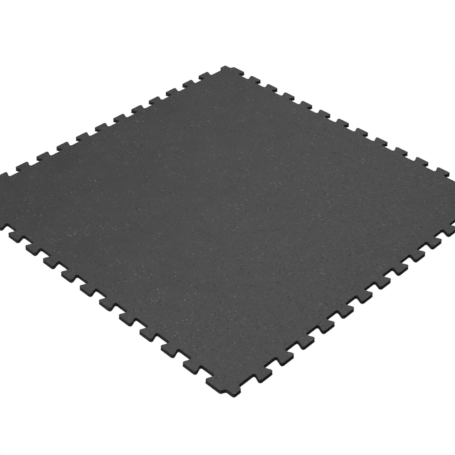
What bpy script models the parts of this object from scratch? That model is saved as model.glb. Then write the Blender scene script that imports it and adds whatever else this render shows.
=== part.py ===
"""Interlocking PVC floor tile, in metres with +Z up.

One flat square of flexible PVC with dovetail teeth along all four sides. Every side carries the same
row of teeth, turned a quarter turn from the last, and a row read backwards is its own negative, so any
side locks into any side of a like tile. The tile lies flat: its centre is above the origin, its sides
run along X and Y, and its underside is at z = 0.
"""

import math

import bmesh
import bpy
from mathutils import Matrix, Vector

# The square that a laid tile covers, and the sheet that it is made from
MODULE = 0.500
THICKNESS = 0.005

# The dovetail teeth, which stand half inside and half outside the module line
TOOTH_COUNT = 12
TOOTH_PITCH = 0.0356
TOOTH_DEPTH = 0.0125
TOOTH_TIP = 0.0232
FIT_CLEARANCE = 0.0001
TOOTH_ROOT = TOOTH_PITCH - TOOTH_TIP - FIT_CLEARANCE

# The plain tab at each corner, which ends on the module line
CORNER_TAB = 0.0128

# Roundings in plan, and of the top rim
TOOTH_RADIUS = 0.0026
SOCKET_RADIUS = 0.0023
CORNER_RADIUS = 0.0023
ARC_STEPS = 3
RIM_ROUND = 0.0005

# A row read backwards puts each tooth on a socket, so the first tooth stands this far from the corner
FIRST_TOOTH = (MODULE - (TOOTH_COUNT - 0.5) * TOOTH_PITCH) / 2
FLANK_RUN = (TOOTH_TIP - TOOTH_ROOT) / 2
STEP_RUN = FLANK_RUN / 4

PVC_COLOUR = (0.078, 0.078, 0.080, 1.0)
PVC_ROUGHNESS = 0.6

SIDES = 4
WELD_DISTANCE = 0.00001
RIM_ANGLE = math.radians(60)


def clear_scene():
    """Removes every object that the file holds."""
    for obj in list(bpy.data.objects):
        bpy.data.objects.remove(obj)


def tooth_corners(centre):
    """One full tooth, as (distance along the side, distance outwards, radius)."""
    half_depth = TOOTH_DEPTH / 2
    return [
        (centre - TOOTH_ROOT / 2, -half_depth, SOCKET_RADIUS),
        (centre - TOOTH_TIP / 2, half_depth, TOOTH_RADIUS),
        (centre + TOOTH_TIP / 2, half_depth, TOOTH_RADIUS),
        (centre + TOOTH_ROOT / 2, -half_depth, SOCKET_RADIUS),
    ]


def side_corners():
    """The corners of one side: corner tab, full teeth, then a wide tab that ends at the next corner tab."""
    half_depth = TOOTH_DEPTH / 2
    corners = [
        (0.0, 0.0, CORNER_RADIUS),
        (CORNER_TAB - STEP_RUN, 0.0, TOOTH_RADIUS),
        (CORNER_TAB + STEP_RUN, -half_depth, SOCKET_RADIUS),
    ]
    for tooth in range(TOOTH_COUNT):
        corners += tooth_corners(FIRST_TOOTH + tooth * TOOTH_PITCH)
    corners += tooth_corners(FIRST_TOOTH + TOOTH_COUNT * TOOTH_PITCH)[:2]
    corners += [
        (MODULE - CORNER_TAB - STEP_RUN, half_depth, TOOTH_RADIUS),
        (MODULE - CORNER_TAB + STEP_RUN, 0.0, SOCKET_RADIUS),
    ]
    return corners


def outline_corners():
    """All four sides, anticlockwise, as (point, radius). The first side faces -Y."""
    corners = []
    for side in range(SIDES):
        turn = Matrix.Rotation(side * math.tau / SIDES, 2)
        for along, outwards, radius in side_corners():
            corners.append((turn @ Vector((along - MODULE / 2, -MODULE / 2 - outwards)), radius))
    return corners


def arc(before, corner, after, radius):
    """The points of the arc that rounds one corner of the outline."""
    to_before = (before - corner).normalized()
    to_after = (after - corner).normalized()
    half_angle = to_before.angle(to_after) / 2
    centre = corner + (to_before + to_after).normalized() * radius / math.sin(half_angle)
    reach = radius / math.tan(half_angle)
    start = corner + to_before * reach - centre
    end = corner + to_after * reach - centre
    sweep = start.angle_signed(end)
    return [centre + Matrix.Rotation(-sweep * step / ARC_STEPS, 2) @ start for step in range(ARC_STEPS + 1)]


def rounded_outline():
    corners = outline_corners()
    points = []
    for index, (corner, radius) in enumerate(corners):
        before = corners[index - 1][0]
        after = corners[(index + 1) % len(corners)][0]
        points += arc(before, corner, after, radius)
    return points


def sheet_curve(points):
    """The outline as a filled 2D curve, as thick as the sheet."""
    data = bpy.data.curves.new("tile_outline", "CURVE")
    data.dimensions = "2D"
    data.fill_mode = "BOTH"
    data.extrude = THICKNESS / 2
    spline = data.splines.new("POLY")
    spline.points.add(len(points) - 1)
    for target, point in zip(spline.points, points):
        target.co = (point.x, point.y, 0.0, 1.0)
    spline.use_cyclic_u = True
    curve = bpy.data.objects.new("tile_outline", data)
    curve.location.z = THICKNESS / 2
    bpy.context.scene.collection.objects.link(curve)
    return curve


def mesh_object(curve, name, collection):
    """The curve as one welded mesh in its place, with its top and underside as one face each."""
    bpy.context.view_layer.update()
    evaluated = curve.evaluated_get(bpy.context.evaluated_depsgraph_get())
    mesh = bpy.data.meshes.new_from_object(evaluated)
    mesh.name = name
    welded = bmesh.new()
    welded.from_mesh(mesh)
    bmesh.ops.remove_doubles(welded, verts=welded.verts, dist=WELD_DISTANCE)
    caps = [face for face in welded.faces if len({vert.co.z > 0 for vert in face.verts}) == 1]
    bmesh.ops.dissolve_faces(welded, faces=caps)
    round_top_rim(welded)
    welded.to_mesh(mesh)
    welded.free()
    obj = bpy.data.objects.new(name, mesh)
    obj.matrix_world = curve.matrix_world
    collection.objects.link(obj)
    bpy.data.objects.remove(curve)
    return obj


def round_top_rim(welded):
    """Breaks the sharp rim of the walking face. The rim of the underside stays sharp."""
    rim = [
        edge
        for edge in welded.edges
        if min(vert.co.z for vert in edge.verts) > 0 and edge.calc_face_angle() > RIM_ANGLE
    ]
    bmesh.ops.bevel(welded, geom=rim, offset=RIM_ROUND, segments=1, profile=0.5, affect="EDGES")


def pvc_material():
    material = bpy.data.materials.new("pvc")
    material.use_nodes = True
    shader = material.node_tree.nodes["Principled BSDF"]
    shader.inputs["Base Color"].default_value = PVC_COLOUR
    shader.inputs["Roughness"].default_value = PVC_ROUGHNESS
    shader.inputs["Metallic"].default_value = 0.0
    return material


def main():
    clear_scene()
    collection = bpy.data.collections.new("interlocking_floor_tile")
    bpy.context.scene.collection.children.link(collection)
    tile = mesh_object(sheet_curve(rounded_outline()), "floor_tile", collection)
    tile.data.shade_smooth()
    tile.data.set_sharp_from_angle(angle=RIM_ANGLE)
    tile.data.materials.clear()
    tile.data.materials.append(pvc_material())


main()
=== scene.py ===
"""Interlocking PVC floor tile: the moulded sheet with its grained finish, in a plain white studio."""

import math
from typing import NamedTuple

import bmesh
import bpy
from mathutils import Matrix, Vector


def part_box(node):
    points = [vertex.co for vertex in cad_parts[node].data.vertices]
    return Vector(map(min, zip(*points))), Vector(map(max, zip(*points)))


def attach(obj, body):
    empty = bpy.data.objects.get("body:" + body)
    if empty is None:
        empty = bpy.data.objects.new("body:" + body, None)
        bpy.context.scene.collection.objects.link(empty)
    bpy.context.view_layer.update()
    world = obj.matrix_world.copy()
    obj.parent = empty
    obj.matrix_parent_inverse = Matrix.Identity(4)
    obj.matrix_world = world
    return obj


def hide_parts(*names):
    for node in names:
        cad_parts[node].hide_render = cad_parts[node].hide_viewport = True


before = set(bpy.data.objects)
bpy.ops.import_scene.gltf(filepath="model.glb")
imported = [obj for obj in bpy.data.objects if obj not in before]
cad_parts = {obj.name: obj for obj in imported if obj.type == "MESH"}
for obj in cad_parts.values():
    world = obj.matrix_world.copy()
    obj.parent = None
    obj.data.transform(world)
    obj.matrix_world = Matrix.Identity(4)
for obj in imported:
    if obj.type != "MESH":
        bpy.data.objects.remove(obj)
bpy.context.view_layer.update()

bl_info = {
    "name": "Interlocking Floor Tile",
    "version": (1, 0, 0),
    "blender": (4, 5, 0),
    "location": "View3D > Sidebar > Floor Tile",
    "description": "Models and finishes a PVC floor tile with dovetail teeth, and lights it in a studio",
    "category": "Object",
}

CAD_NODE = "floor_tile"
TILE_LOW, TILE_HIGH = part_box(CAD_NODE)

SIDES = 4
QUARTER_TURN = math.tau / SIDES

# How places, roundings, flat faces and rims are told apart
PLACE_TOLERANCE = 0.00002
MICROMETRE_DIGITS = 6
FLAT_NORMAL = 0.99
SMOOTH_ANGLE = math.radians(35)

# Faces across each rounded rim, and the pull of the wide faces on the shading
TOP_RIM_STEPS = 3
UNDER_RIM_STEPS = 2
FACE_PULL = 100

NOISE_MIDDLE = (0.5, 0.5, 0.5)

# Pebbles: waves in a pebble size, runs in pebble sizes, heights in pebble depths, and noise limits
BEND_WAVES = 0.7
TOP_WAVES = 0.45
FINE_WAVES = 2.6
BEND_RUN = 1.6
DOME_RUN = 0.35
CREASE_RUN = 0.12
LOWEST_TOP = 0.35
FINE_HEIGHT = 0.35
TOP_LIMITS = (0.35, 0.65)

# Flecks: waves in a fleck size, and limits of the noise that makes a fleck or a cluster
FLECK_WAVES = 0.8
CLUSTER_WAVES = 0.13
FLECK_LIMITS = {"Light": (0.57, 0.74), "Dark": (0.55, 0.72)}
FLECK_SHIFT = {"Light": (0.0, 0.0, 0.0), "Dark": (31.7, 12.9, 5.3)}
CLUSTER_LIMITS = (0.40, 0.62)
BETWEEN_CLUSTERS = 0.2
IN_CLUSTERS = 1.25

# Clouding of the tone and gloss, and how the grain is drawn out up the walls
CLOUD_LIMITS = (0.32, 0.68)
DARKEST_TONE = 0.2
GLOSS_SWAY = 0.03
WALL_STRETCH = (1.0, 1.0, 0.25)

# The floor, its contact shadow and the camera's fixed parts
FLOOR_WIDTH = 12.0
SHADOW_SAMPLES = 8
SHADOW_LIMITS = (0.7, 1.0)
SENSOR_WIDTH = 36.0
NEAREST_VIEW = 0.01


class Skin(NamedTuple):
    """What sets one finish of the PVC apart.

    The grain is a share of the walking face's. The last four change the tone, where 1 is plain.
    """

    roughness: float
    specular: float
    grain_size: float
    grain_depth: float
    cloud_size: float
    cloud_sway: float
    # Tone strengths: painted glints on the light flecks, painted shade in the dark flecks and painted
    # shade in the creases
    painted_glints: float = 0.0
    painted_pit_shade: float = 0.0
    creases: float = 0.0


FACE_SKIN = Skin(
    roughness=0.62, specular=0.4, grain_size=1.0, grain_depth=1.0, cloud_size=0.09, cloud_sway=0.075,
    painted_glints=1.3, painted_pit_shade=-0.48, creases=-0.08,
)
WALL_SKIN = Skin(
    roughness=0.5, specular=0.15, grain_size=0.6, grain_depth=0.4, cloud_size=0.02, cloud_sway=0.12
)
UNDER_SKIN = Skin(
    roughness=0.75, specular=0.3, grain_size=1.4, grain_depth=0.5, cloud_size=0.05, cloud_sway=0.08,
    painted_glints=0.7, painted_pit_shade=-0.35, creases=-0.1,
)


class Softbox(NamedTuple):
    """Where a softbox hangs, the point that it faces, the direction of its length, and its sides."""

    place: tuple
    aim: tuple
    along: tuple
    width: float
    length: float


KEY_BOX = Softbox(
    place=(-0.06, 0.14, 0.92), aim=(-0.06, 0.14, 0.0), along=(0.36, -0.93, 0.0), width=0.5, length=2.4
)
FILL_BOX = Softbox(
    place=(-0.5, -1.6, 0.15), aim=(0.0, -0.25, 0.0), along=(0.0, 0.0, 1.0), width=1.6, length=0.26
)
UNDER_BOX = Softbox(
    place=(0.0, 0.0, -2.5), aim=(0.0, 0.0, 0.0), along=(1.0, 0.0, 0.0), width=1.0, length=1.0
)


class TileShape(bpy.types.PropertyGroup):
    """Sizes of the sheet and of its teeth."""

    tooth_count: bpy.props.IntProperty(
        name="Full Teeth", description="Full dovetail teeth along one side", default=12, min=1
    )
    tooth_pitch: bpy.props.FloatProperty(
        name="Tooth Pitch", description="From one tooth's middle to the next",
        default=0.0356, unit="LENGTH"
    )
    tooth_depth: bpy.props.FloatProperty(
        name="Tooth Depth", description="From the base of a socket to a tooth's tip",
        default=0.0125, unit="LENGTH"
    )
    tooth_tip: bpy.props.FloatProperty(
        name="Tooth Tip", description="Width of a tooth at its tip", default=0.0232, unit="LENGTH"
    )
    fit_clearance: bpy.props.FloatProperty(
        name="Fit Clearance", description="Play of a tooth in its socket",
        default=0.0001, unit="LENGTH"
    )
    corner_tab: bpy.props.FloatProperty(
        name="Corner Tab", description="Length of the plain tab at each corner",
        default=0.0128, unit="LENGTH"
    )
    tooth_radius: bpy.props.FloatProperty(
        name="Tooth Radius", description="Rounding of a tooth's corners in plan",
        default=0.0026, unit="LENGTH"
    )
    socket_radius: bpy.props.FloatProperty(
        name="Socket Radius", description="Rounding in plan of a socket's corners and of the tile's",
        default=0.0023, unit="LENGTH"
    )
    arc_steps: bpy.props.IntProperty(
        name="Arc Steps", description="Edges along each rounded corner", default=7, min=1
    )
    top_rim: bpy.props.FloatProperty(
        name="Top Rim", description="Rounding of the walking face's rim", default=0.0003, unit="LENGTH"
    )
    under_rim: bpy.props.FloatProperty(
        name="Under Rim", description="Rounding of the underside's rim", default=0.0005, unit="LENGTH"
    )


class TileFinish(bpy.types.PropertyGroup):
    """Colours and relief of the PVC."""

    face_colour: bpy.props.FloatVectorProperty(
        name="Face", description="Colour of the walking face",
        default=(0.0506, 0.0505, 0.0505), subtype="COLOR"
    )
    # The walls and rims are about half as light as the face: painted shade
    shaded_wall_colour: bpy.props.FloatVectorProperty(
        name="Walls", description="Colour of the walls and rims",
        default=(0.0252, 0.025, 0.0248), subtype="COLOR"
    )
    under_colour: bpy.props.FloatVectorProperty(
        name="Underside", description="Colour of the underside",
        default=(0.048, 0.0477, 0.0475), subtype="COLOR"
    )
    pebble_size: bpy.props.FloatProperty(
        name="Pebble Size", description="Width of one pebble of the walking face's grain",
        default=0.0028, unit="LENGTH"
    )
    pebble_depth: bpy.props.FloatProperty(
        name="Pebble Depth", description="Depth of the creases between pebbles",
        default=0.00018, unit="LENGTH"
    )
    fleck_size: bpy.props.FloatProperty(
        name="Fleck Size", description="Width of the light and dark flecks",
        default=0.0024, unit="LENGTH"
    )


class TileStudio(bpy.types.PropertyGroup):
    """The camera, lights and floor."""

    camera_azimuth: bpy.props.FloatProperty(
        name="Camera Azimuth", description="Turn of the camera round the tile",
        default=math.radians(44.16), subtype="ANGLE"
    )
    camera_elevation: bpy.props.FloatProperty(
        name="Camera Elevation", description="Height of the camera as an angle",
        default=math.radians(38.65), subtype="ANGLE"
    )
    camera_roll: bpy.props.FloatProperty(
        name="Camera Roll", description="Tilt of the camera about its own axis",
        default=math.radians(0.54), subtype="ANGLE"
    )
    camera_distance: bpy.props.FloatProperty(
        name="Camera Distance", description="From the point looked at to the camera",
        default=1.2843, unit="LENGTH"
    )
    camera_target: bpy.props.FloatVectorProperty(
        name="Camera Target", description="Point of the walking face that the camera looks at",
        default=(0.0434, -0.0616), size=2, subtype="TRANSLATION"
    )
    focal_length: bpy.props.FloatProperty(
        name="Focal Length", description="Focal length in millimetres on a 36 mm wide sensor",
        default=79.36
    )
    lens_shift: bpy.props.FloatVectorProperty(
        name="Lens Shift", description="Shift of the lens as a share of the picture",
        default=(0.0175, 0.0071), size=2
    )
    floor_gap: bpy.props.FloatProperty(
        name="Floor Gap", description="How far the floor lies under the tile",
        default=0.0001, unit="LENGTH"
    )
    contact_shadow: bpy.props.FloatProperty(
        name="Contact Shadow", description="Reach of the shadow where the tile meets the floor",
        default=0.0008, unit="LENGTH"
    )
    sky_strength: bpy.props.FloatProperty(
        name="Sky", description="Strength of the even light from all round", default=0.14, min=0.0
    )
    key_power: bpy.props.FloatProperty(
        name="Key", description="Power of the long softbox overhead",
        default=13.2, min=0.0, subtype="POWER"
    )
    fill_power: bpy.props.FloatProperty(
        name="Fill", description="Power of the low softbox at the left front",
        default=15.0, min=0.0, subtype="POWER"
    )
    under_power: bpy.props.FloatProperty(
        name="Under Light", description="Power of the softbox below, for views of the underside",
        default=44.0, min=0.0, subtype="POWER"
    )


# Outline of the tile


def side_corners(shape, module):
    """The corners of one side as (distance along it, distance outwards, radius).

    They run from the corner tab to the wide tooth, and the next side's corner tab closes the row.
    A corner tab's flank is half as high as a tooth's, and runs half as far.
    """
    half_depth = shape.tooth_depth / 2
    half_tip = shape.tooth_tip / 2
    half_root = (shape.tooth_pitch - shape.tooth_tip - shape.fit_clearance) / 2
    tab_flank_run = (half_tip - half_root) / 2
    step_run = tab_flank_run / 2
    first = (module - (shape.tooth_count - 0.5) * shape.tooth_pitch) / 2
    outer, inner = shape.tooth_radius, shape.socket_radius
    corners = [
        (0.0, 0.0, inner),
        (shape.corner_tab - step_run, 0.0, outer),
        (shape.corner_tab + step_run, -half_depth, inner),
    ]
    for tooth in range(shape.tooth_count):
        middle = first + tooth * shape.tooth_pitch
        corners += [
            (middle - half_root, -half_depth, inner),
            (middle - half_tip, half_depth, outer),
            (middle + half_tip, half_depth, outer),
            (middle + half_root, -half_depth, inner),
        ]
    wide = first + shape.tooth_count * shape.tooth_pitch
    corners += [
        (wide - half_root, -half_depth, inner),
        (wide - half_tip, half_depth, outer),
        (module - shape.corner_tab - step_run, half_depth, outer),
        (module - shape.corner_tab + step_run, 0.0, inner),
    ]
    return corners


def side_points(shape, module, top):
    """The corners of the side that faces -Y, as (place, radius)."""
    return [
        (Vector((along - module / 2, -module / 2 - outwards, top)), radius)
        for along, outwards, radius in side_corners(shape, module)
    ]


def set_back(before, corner, after, radius):
    """How far back from a corner its arc starts."""
    half_angle = (before - corner).angle(after - corner) / 2
    return radius / math.tan(half_angle)


def edit(tile):
    """Opens the tile's mesh in edit mode, with nothing selected."""
    bpy.ops.object.select_all(action="DESELECT")
    tile.select_set(True)
    bpy.context.view_layer.objects.active = tile
    bpy.ops.object.mode_set(mode="EDIT")
    bpy.ops.mesh.select_all(action="DESELECT")


def select_corners(tile, corners):
    """Selects the vertices that lie at these corners."""
    bpy.ops.mesh.select_mode(type="VERT")
    cage = bmesh.from_edit_mesh(tile.data)
    for vertex in cage.verts:
        vertex.select = any((vertex.co - corner).length < PLACE_TOLERANCE for corner in corners)
    cage.select_flush(True)
    bmesh.update_edit_mesh(tile.data)


def select_rim(tile, height):
    """Selects the edges where the walls meet the flat face at this height."""
    bpy.ops.mesh.select_mode(type="EDGE")
    cage = bmesh.from_edit_mesh(tile.data)
    for line in cage.edges:
        level = all(abs(vertex.co.z - height) < PLACE_TOLERANCE for vertex in line.verts)
        line.select = level and line.calc_face_angle(0.0) > SMOOTH_ANGLE
    cage.select_flush(False)
    bmesh.update_edit_mesh(tile.data)


def draw_outline(shape, module, top):
    """Draws one side as a chain of edges, turns copies of it into all four sides, and fills them."""
    corners = [place for place, _ in side_points(shape, module, top)]
    corners.append(Vector((module / 2, -module / 2, top)))
    bpy.ops.object.select_all(action="DESELECT")
    bpy.ops.mesh.primitive_plane_add(size=shape.corner_tab, location=corners[0])
    tile = bpy.context.object
    bpy.ops.object.transform_apply(location=True, rotation=True, scale=True)
    edit(tile)
    bpy.ops.mesh.select_all(action="SELECT")
    bpy.ops.mesh.merge(type="CENTER")
    for before, after in zip(corners, corners[1:]):
        bpy.ops.mesh.extrude_vertices_move(TRANSFORM_OT_translate={"value": after - before})
    bpy.ops.mesh.select_all(action="SELECT")
    bpy.ops.mesh.spin(
        steps=SIDES - 1, dupli=True, angle=QUARTER_TURN * (SIDES - 1),
        center=(0.0, 0.0, 0.0), axis=(0.0, 0.0, 1.0),
    )
    bpy.ops.mesh.select_all(action="SELECT")
    bpy.ops.mesh.remove_doubles(threshold=PLACE_TOLERANCE)
    bpy.ops.mesh.select_all(action="SELECT")
    bpy.ops.mesh.edge_face_add()
    bpy.ops.object.mode_set(mode="OBJECT")
    return tile


def round_corners(tile, shape, module, top):
    """Rounds every corner of the outline in plan, those that are set back alike together."""
    around = []
    for side in range(SIDES):
        turn = Matrix.Rotation(side * QUARTER_TURN, 3, "Z")
        around += [(turn @ place, radius) for place, radius in side_points(shape, module, top)]
    alike = {}
    for index, (corner, radius) in enumerate(around):
        before = around[index - 1][0]
        after = around[(index + 1) % len(around)][0]
        back = set_back(before, corner, after, radius)
        alike.setdefault(round(back, MICROMETRE_DIGITS), []).append(corner)
    edit(tile)
    for back, corners in sorted(alike.items()):
        select_corners(tile, corners)
        bpy.ops.mesh.bevel(
            offset_type="OFFSET", offset=back, segments=shape.arc_steps,
            affect="VERTICES", clamp_overlap=False,
        )
    bpy.ops.object.mode_set(mode="OBJECT")


def give_thickness(tile, shape, top, thickness):
    """Extrudes the filled outline down to the underside, then rounds both rims."""
    edit(tile)
    bpy.ops.mesh.select_all(action="SELECT")
    bpy.ops.mesh.extrude_region_move(TRANSFORM_OT_translate={"value": (0.0, 0.0, -thickness)})
    bpy.ops.mesh.select_all(action="SELECT")
    bpy.ops.mesh.normals_make_consistent(inside=False)
    rims = (
        (top, shape.top_rim, TOP_RIM_STEPS),
        (top - thickness, shape.under_rim, UNDER_RIM_STEPS),
    )
    for height, width, steps in rims:
        select_rim(tile, height)
        bpy.ops.mesh.bevel(offset=width, segments=steps, affect="EDGES", clamp_overlap=False)
    bpy.ops.object.mode_set(mode="OBJECT")


def smooth(tile):
    """Shades the arcs and rims smooth, and keeps both wide faces flat."""
    bpy.ops.object.shade_smooth_by_angle(angle=SMOOTH_ANGLE)
    weighted = tile.modifiers.new("flat_faces", "WEIGHTED_NORMAL")
    weighted.keep_sharp = True
    weighted.weight = FACE_PULL
    bpy.ops.object.modifier_apply(modifier=weighted.name)


# Nodes


def new_group(name, inputs, outputs):
    """A shader node group with float sockets, and a vector where the name is Vector."""
    group = bpy.data.node_groups.new(name, "ShaderNodeTree")
    for in_out, sockets in (("INPUT", inputs), ("OUTPUT", outputs)):
        for socket in sockets:
            kind = "NodeSocketVector" if socket == "Vector" else "NodeSocketFloat"
            group.interface.new_socket(name=socket, in_out=in_out, socket_type=kind)
    return group, group.nodes.new("NodeGroupInput"), group.nodes.new("NodeGroupOutput")


def node(tree, kind, settings=None, **inputs):
    """Adds a node. A setting is a property of its own; an input is a value, or a socket to link from.

    An input's name has _ where the socket's has a space, and _0 stands for the first socket.
    """
    made = tree.nodes.new(kind)
    for name, value in (settings or {}).items():
        setattr(made, name, value)
    for name, value in inputs.items():
        socket = made.inputs[int(name[1:])] if name[0] == "_" else made.inputs[name.replace("_", " ")]
        if isinstance(value, bpy.types.NodeSocket):
            tree.links.new(value, socket)
        else:
            socket.default_value = value
    return made


def math_node(tree, operation, first, second=0.0, third=0.0, clamp=False):
    """One Math node, as its output socket."""
    settings = {"operation": operation, "use_clamp": clamp}
    return node(tree, "ShaderNodeMath", settings, _0=first, _1=second, _2=third).outputs[0]


def vector_node(tree, operation, first, second):
    """One Vector Math node, as its output socket."""
    settings = {"operation": operation}
    return node(tree, "ShaderNodeVectorMath", settings, _0=first, _1=second).outputs[0]


def scaled(tree, vector, factor):
    """A vector or a colour times a factor."""
    settings = {"operation": "SCALE"}
    return node(tree, "ShaderNodeVectorMath", settings, _0=vector, Scale=factor).outputs[0]


def ramp(tree, value, low, high, to_low=0.0, to_high=1.0):
    """Smooth step of a value between two limits."""
    made = node(
        tree, "ShaderNodeMapRange", {"interpolation_type": "SMOOTHSTEP"},
        Value=value, From_Min=low, From_Max=high, To_Min=to_low, To_Max=to_high,
    )
    return made.outputs["Result"]


def noise(tree, vector, scale, detail=2.0, roughness=0.5):
    """A soft noise with this many waves in one step of the vector."""
    return node(
        tree, "ShaderNodeTexNoise", Vector=vector, Scale=scale, Detail=detail, Roughness=roughness
    )


# Grain, flecks and clouding, which the materials share


def over_size(group, entry):
    """The place that a group is given in metres, counted in steps of the size that it is given."""
    steps_in_a_metre = math_node(group, "DIVIDE", 1.0, entry.outputs["Size"])
    return scaled(group, entry.outputs["Vector"], steps_in_a_metre)


def pebble_group():
    """Pebbled grain: low uneven pebbles with creases between them. The height is in metres."""
    group, entry, result = new_group("Pebbled Grain", ["Vector", "Size", "Depth"], ["Height", "Crease Shade"])
    steps = over_size(group, entry)
    swirls = noise(group, steps, BEND_WAVES)
    bend = vector_node(group, "SUBTRACT", swirls.outputs["Color"], NOISE_MIDDLE)
    bent = vector_node(group, "ADD", scaled(group, bend, BEND_RUN), steps)
    cells = node(
        group, "ShaderNodeTexVoronoi", {"feature": "DISTANCE_TO_EDGE"}, Vector=bent, Scale=1.0
    )
    to_edge = cells.outputs["Distance"]
    domes = ramp(group, to_edge, 0.0, DOME_RUN)
    tops = ramp(group, noise(group, steps, TOP_WAVES).outputs["Fac"], *TOP_LIMITS)
    fine = noise(group, steps, FINE_WAVES, detail=3.0, roughness=0.6).outputs["Fac"]
    height = math_node(group, "MULTIPLY", domes, math_node(group, "ADD", tops, LOWEST_TOP))
    height = math_node(group, "MULTIPLY_ADD", fine, FINE_HEIGHT, height)
    height = math_node(group, "MULTIPLY", height, entry.outputs["Depth"])
    # The crease mask only darkens the tone: painted shade in the creases
    crease_shade = ramp(group, to_edge, 0.0, CREASE_RUN, to_low=1.0, to_high=0.0)
    group.links.new(height, result.inputs["Height"])
    group.links.new(crease_shade, result.inputs["Crease Shade"])
    return group


def fleck_group():
    """Light and dark flecks of uneven size that gather in loose clusters. They are raised crumbs and
    pits in the relief, and the materials also paint a glint on the light ones and shade in the dark
    ones.
    """
    group, entry, result = new_group("Flecks", ["Vector", "Size"], ["Light", "Dark"])
    steps = over_size(group, entry)
    for name, limits in FLECK_LIMITS.items():
        moved = vector_node(group, "ADD", steps, FLECK_SHIFT[name])
        grains = noise(group, moved, FLECK_WAVES, roughness=0.6)
        clusters = noise(group, moved, CLUSTER_WAVES, roughness=0.6)
        spots = ramp(group, grains.outputs["Fac"], *limits)
        near = ramp(
            group, clusters.outputs["Fac"], *CLUSTER_LIMITS, to_low=BETWEEN_CLUSTERS, to_high=IN_CLUSTERS
        )
        group.links.new(math_node(group, "MULTIPLY", spots, near), result.inputs[name])
    return group


def mottle_group():
    """Broad soft clouding of the tone, from -1 to 1."""
    group, entry, result = new_group("Mottle", ["Vector", "Size"], ["Tone"])
    clouds = noise(group, over_size(group, entry), 1.0, detail=4.0, roughness=0.75)
    tone = ramp(group, clouds.outputs["Fac"], *CLOUD_LIMITS, to_low=-1.0)
    group.links.new(tone, result.inputs["Tone"])
    return group


# Materials


def new_material(name, skin):
    """A material with a Principled BSDF, its tree and the object's own coordinates."""
    material = bpy.data.materials.new(name)
    material.use_nodes = True
    tree = material.node_tree
    shader = tree.nodes["Principled BSDF"]
    shader.inputs["Roughness"].default_value = skin.roughness
    shader.inputs["Specular IOR Level"].default_value = skin.specular
    place = tree.nodes.new("ShaderNodeTexCoord").outputs["Object"]
    return material, tree, shader, place


def use_group(tree, group, **inputs):
    """Places a node group in a material, with its inputs set or linked."""
    return node(tree, "ShaderNodeGroup", {"node_tree": group}, **inputs)


def use_grain(tree, finish, skin, pebbles, place):
    """The pebbled grain at this skin's share of the walking face's size and depth."""
    size, depth = finish.pebble_size * skin.grain_size, finish.pebble_depth * skin.grain_depth
    return use_group(tree, pebbles, Vector=place, Size=size, Depth=depth)


def colour_in(tree, shader, colour, tone):
    """Links the base colour, made lighter or darker by a tone that changes over the surface."""
    tree.links.new(scaled(tree, tuple(colour), tone), shader.inputs["Base Color"])


def emboss(tree, shader, height):
    """Gives the surface a relief, from a height in metres."""
    relief = node(tree, "ShaderNodeBump", Strength=1.0, Distance=1.0, Height=height)
    tree.links.new(relief.outputs["Normal"], shader.inputs["Normal"])


def flecked(tree, skin, tone, spots, grain):
    """A tone with the painted glints of the light flecks, and the painted shade of the dark flecks and
    of the creases, added to it.
    """
    for mask, strength in (
        (spots.outputs["Light"], skin.painted_glints),
        (spots.outputs["Dark"], skin.painted_pit_shade),
        (grain.outputs["Crease Shade"], skin.creases),
    ):
        tone = math_node(tree, "MULTIPLY_ADD", mask, strength, tone)
    return tone


def face_material(finish, pebbles, flecks, mottle):
    """The walking face: pebbled matte PVC with soft clouding, and clustered flecks and creases that
    paint glints on the crests and shade in the pits and creases.
    """
    skin = FACE_SKIN
    material, tree, shader, place = new_material("pvc_face", skin)
    grain = use_grain(tree, finish, skin, pebbles, place)
    spots = use_group(tree, flecks, Vector=place, Size=finish.fleck_size)
    clouds = use_group(tree, mottle, Vector=place, Size=skin.cloud_size).outputs["Tone"]
    tone = math_node(tree, "MULTIPLY_ADD", clouds, skin.cloud_sway, 1.0)
    tone = flecked(tree, skin, tone, spots, grain)
    colour_in(tree, shader, finish.face_colour, math_node(tree, "MAXIMUM", tone, DARKEST_TONE))
    gloss = math_node(tree, "MULTIPLY_ADD", clouds, GLOSS_SWAY, skin.roughness)
    tree.links.new(gloss, shader.inputs["Roughness"])
    crumbs = math_node(tree, "SUBTRACT", spots.outputs["Light"], spots.outputs["Dark"])
    height = math_node(tree, "MULTIPLY_ADD", crumbs, finish.pebble_depth, grain.outputs["Height"])
    emboss(tree, shader, height)
    return material


def wall_material(finish, pebbles, mottle):
    """The walls of the teeth: smoother PVC with faint upright marks from the mould, in a darker colour
    that paints the shade the walls stand in.
    """
    skin = WALL_SKIN
    material, tree, shader, place = new_material("pvc_edge", skin)
    drawn = vector_node(tree, "MULTIPLY", place, WALL_STRETCH)
    grain = use_grain(tree, finish, skin, pebbles, drawn)
    clouds = use_group(tree, mottle, Vector=place, Size=skin.cloud_size).outputs["Tone"]
    tone = math_node(tree, "MULTIPLY_ADD", clouds, skin.cloud_sway, 1.0)
    # The darker wall colour paints the walls' shade
    colour_in(tree, shader, finish.shaded_wall_colour, tone)
    emboss(tree, shader, grain.outputs["Height"])
    return material


def under_material(finish, pebbles, flecks, mottle):
    """The underside: a little rougher, with a faint open grain, and dull flecks and creases that paint
    glints and shade into it.
    """
    skin = UNDER_SKIN
    material, tree, shader, place = new_material("pvc_underside", skin)
    grain = use_grain(tree, finish, skin, pebbles, place)
    spots = use_group(tree, flecks, Vector=place, Size=finish.fleck_size)
    clouds = use_group(tree, mottle, Vector=place, Size=skin.cloud_size).outputs["Tone"]
    tone = math_node(tree, "MULTIPLY_ADD", clouds, skin.cloud_sway, 1.0)
    tone = flecked(tree, skin, tone, spots, grain)
    colour_in(tree, shader, finish.under_colour, tone)
    emboss(tree, shader, grain.outputs["Height"])
    return material


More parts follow.
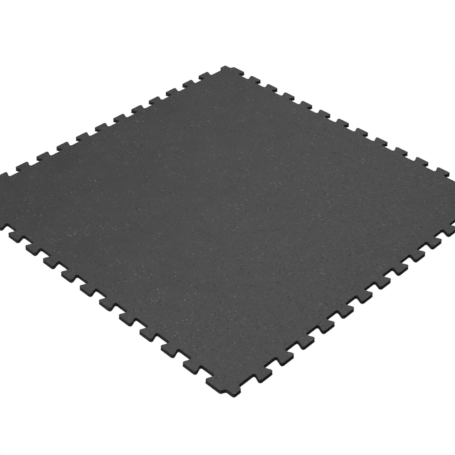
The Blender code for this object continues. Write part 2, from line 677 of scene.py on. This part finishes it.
def paint(tile, face, wall, under):
    """Gives the walking face, the walls with both rims, and the underside each their material. The rims
    take the walls' darker colour, which paints shade on them.
    """
    for material in (face, wall, under):
        tile.data.materials.append(material)
    for polygon in tile.data.polygons:
        if polygon.normal.z > FLAT_NORMAL:
            polygon.material_index = 0
        elif polygon.normal.z < -FLAT_NORMAL:
            polygon.material_index = 2
        else:
            polygon.material_index = 1


class MouldTile(bpy.types.Operator):
    """Models the tile as one sheet and gives it the grained PVC finish"""

    bl_idname = "floor_tile.mould"
    bl_label = "Mould Tile"
    bl_options = {"REGISTER", "UNDO"}

    def execute(self, context):
        shape = context.scene.tile_shape
        finish = context.scene.tile_finish
        top, thickness = TILE_HIGH.z, TILE_HIGH.z - TILE_LOW.z
        module = TILE_HIGH.x - TILE_LOW.x - shape.tooth_depth
        tile = draw_outline(shape, module, top)
        tile.name = tile.data.name = "tile_sheet"
        round_corners(tile, shape, module, top)
        give_thickness(tile, shape, top, thickness)
        smooth(tile)
        pebbles, flecks, mottle = pebble_group(), fleck_group(), mottle_group()
        paint(
            tile,
            face_material(finish, pebbles, flecks, mottle),
            wall_material(finish, pebbles, mottle),
            under_material(finish, pebbles, flecks, mottle),
        )
        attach(tile, "root")
        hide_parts(CAD_NODE)
        return {"FINISHED"}


# Studio


def add_floor(studio):
    """A floor that is white from above, up to a narrow contact shadow, and clear to all else."""
    height = TILE_LOW.z - studio.floor_gap
    bpy.ops.object.select_all(action="DESELECT")
    bpy.ops.mesh.primitive_plane_add(size=FLOOR_WIDTH, location=(0.0, 0.0, height))
    floor = bpy.context.object
    floor.name = "studio_floor"
    material = bpy.data.materials.new("studio_floor")
    material.use_nodes = True
    tree = material.node_tree
    tree.nodes.remove(tree.nodes["Principled BSDF"])
    contact = node(
        tree, "ShaderNodeAmbientOcclusion", {"samples": SHADOW_SAMPLES}, Distance=studio.contact_shadow
    )
    shadow = ramp(tree, contact.outputs["AO"], *SHADOW_LIMITS)
    white = node(tree, "ShaderNodeEmission", Strength=shadow)
    clear = node(tree, "ShaderNodeBsdfTransparent")
    rays = tree.nodes.new("ShaderNodeLightPath").outputs["Is Camera Ray"]
    below = tree.nodes.new("ShaderNodeNewGeometry").outputs["Backfacing"]
    from_above = math_node(tree, "SUBTRACT", rays, below, clamp=True)
    mixed = node(
        tree, "ShaderNodeMixShader", Fac=from_above, _1=clear.outputs[0], _2=white.outputs[0]
    )
    tree.links.new(mixed.outputs[0], tree.nodes["Material Output"].inputs["Surface"])
    floor.data.materials.append(material)


def add_sky(studio):
    """Dim even light from all round, behind a white backdrop."""
    world = bpy.data.worlds.new("studio")
    world.use_nodes = True
    tree = world.node_tree
    sky = tree.nodes["Background"]
    sky.inputs["Color"].default_value = (1.0, 1.0, 1.0, 1.0)
    rays = tree.nodes.new("ShaderNodeLightPath").outputs["Is Camera Ray"]
    strength = math_node(tree, "MAXIMUM", rays, studio.sky_strength)
    tree.links.new(strength, sky.inputs["Strength"])
    bpy.context.scene.world = world


def add_softbox(name, box, power):
    """A rectangular area light that faces a point, with its length along a direction."""
    bpy.ops.object.light_add(type="AREA", location=box.place)
    light = bpy.context.object
    light.name = name
    light.data.shape = "RECTANGLE"
    light.data.size = box.width
    light.data.size_y = box.length
    light.data.energy = power
    back = (Vector(box.place) - Vector(box.aim)).normalized()
    across = Vector(box.along).cross(back).normalized()
    light.rotation_euler = Matrix((across, back.cross(across), back)).transposed().to_euler()


def add_camera(studio):
    """The camera on its orbit round the point looked at, with a small tilt and lens shift."""
    azimuth, elevation = studio.camera_azimuth, studio.camera_elevation
    level = Vector((math.sin(azimuth), -math.cos(azimuth), 0.0))
    back = level * math.cos(elevation) + Vector((0.0, 0.0, math.sin(elevation)))
    target = Vector((*studio.camera_target, TILE_HIGH.z))
    bpy.ops.object.camera_add(location=target + back * studio.camera_distance)
    camera = bpy.context.object
    upright = (-back).to_track_quat("-Z", "Y").to_matrix()
    camera.rotation_euler = (upright @ Matrix.Rotation(studio.camera_roll, 3, "Z")).to_euler()
    camera.data.sensor_width = SENSOR_WIDTH
    camera.data.lens = studio.focal_length
    camera.data.shift_x, camera.data.shift_y = studio.lens_shift
    camera.data.clip_start = NEAREST_VIEW
    bpy.context.scene.camera = camera


class SetStudio(bpy.types.Operator):
    """Adds the white floor, the sky, the softboxes and the camera"""

    bl_idname = "floor_tile.studio"
    bl_label = "Set Studio"
    bl_options = {"REGISTER", "UNDO"}

    def execute(self, context):
        studio = context.scene.tile_studio
        add_floor(studio)
        add_sky(studio)
        add_softbox("key", KEY_BOX, studio.key_power)
        add_softbox("fill", FILL_BOX, studio.fill_power)
        add_softbox("under", UNDER_BOX, studio.under_power)
        add_camera(studio)
        context.scene.view_settings.view_transform = "Standard"
        return {"FINISHED"}


class TilePanel(bpy.types.Panel):
    """Lists the tile's sizes, finish and studio"""

    bl_idname = "VIEW3D_PT_floor_tile"
    bl_label = "Floor Tile"
    bl_space_type = "VIEW_3D"
    bl_region_type = "UI"
    bl_category = "Floor Tile"

    def draw(self, context):
        scene = context.scene
        for operator, settings in (
            (MouldTile.bl_idname, (scene.tile_shape, scene.tile_finish)),
            (SetStudio.bl_idname, (scene.tile_studio,)),
        ):
            box = self.layout.box()
            for group in settings:
                for name in group.__annotations__:
                    box.prop(group, name)
            box.operator(operator)


CLASSES = (TileShape, TileFinish, TileStudio, MouldTile, SetStudio, TilePanel)
SETTINGS = {"tile_shape": TileShape, "tile_finish": TileFinish, "tile_studio": TileStudio}


def register():
    for entry in CLASSES:
        bpy.utils.register_class(entry)
    for name, group in SETTINGS.items():
        setattr(bpy.types.Scene, name, bpy.props.PointerProperty(type=group))


def unregister():
    for name in SETTINGS:
        delattr(bpy.types.Scene, name)
    for entry in reversed(CLASSES):
        bpy.utils.unregister_class(entry)


def main():
    register()
    bpy.ops.floor_tile.mould()
    bpy.ops.floor_tile.studio()


if __name__ == "__main__":
    main()
